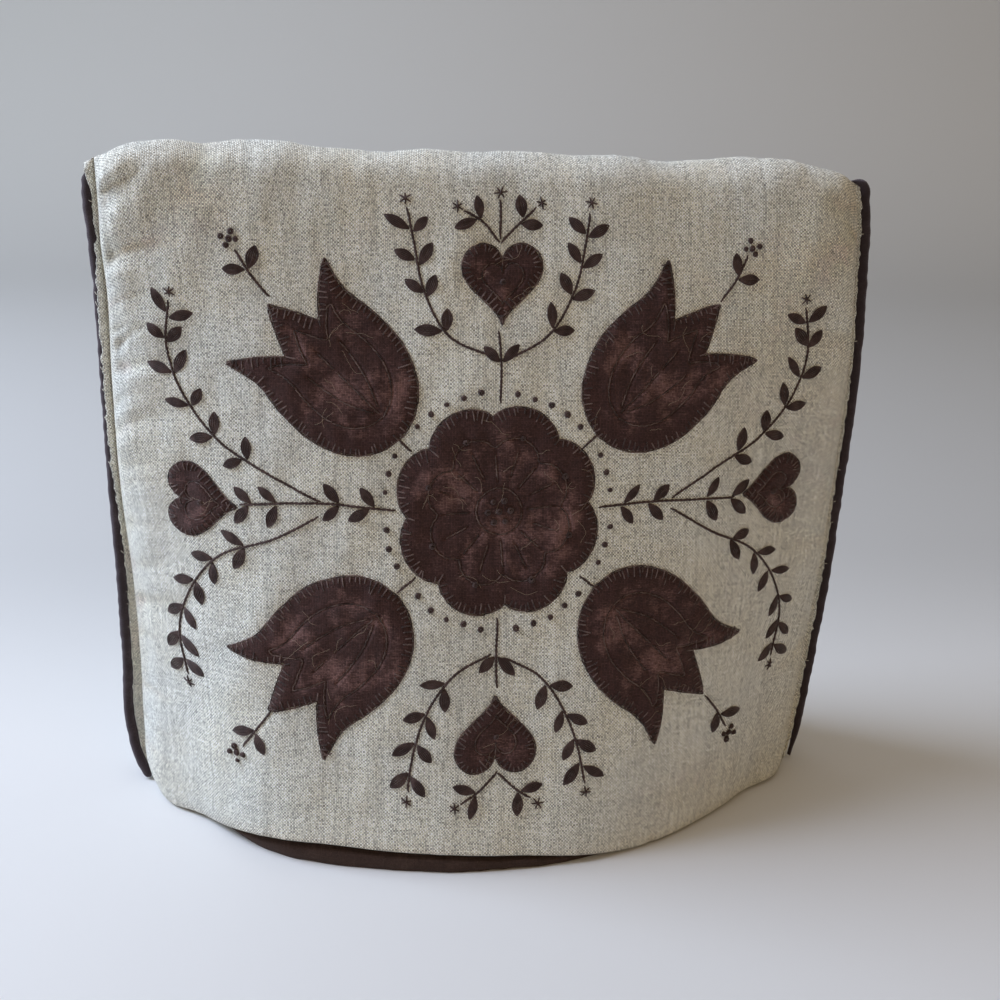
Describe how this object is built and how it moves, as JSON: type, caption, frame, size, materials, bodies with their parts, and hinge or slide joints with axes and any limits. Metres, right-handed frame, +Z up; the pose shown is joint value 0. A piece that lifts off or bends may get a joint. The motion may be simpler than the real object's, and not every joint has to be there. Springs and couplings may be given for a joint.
{
  "type": "tea cosy",
  "caption": "Padded linen cover for a teapot, folded over the top, piped down both side seams, lined, open at the bottom, with patches sewn on its front.",
  "frame": {"origin": "on the surface that the cosy stands on, under the middle of its outer box", "axes": "+Z up, +X across the cosy from seam to seam, front with the patches towards -Y"},
  "size_m": [0.3371, 0.1765, 0.2895],
  "materials": {
    "linen": "coarse plain-weave linen, cream, unbleached",
    "lining_cotton": "plain dark brown cotton",
    "piping_cotton": "very dark brown cotton over cord",
    "patch_cotton": "mottled dark brown cotton with light lint",
    "thread": "dark brown stranded embroidery thread"
  },
  "bodies": {
    "root": {"cover": "linen", "lining": "lining_cotton", "piping_left": "piping_cotton", "piping_right": "piping_cotton", "rose": "patch_cotton", "tulip_1": "patch_cotton", "tulip_2": "patch_cotton", "tulip_3": "patch_cotton", "tulip_4": "patch_cotton", "heart_1": "patch_cotton", "heart_2": "patch_cotton", "heart_3": "patch_cotton", "heart_4": "patch_cotton"}
  },
  "joints": []
}
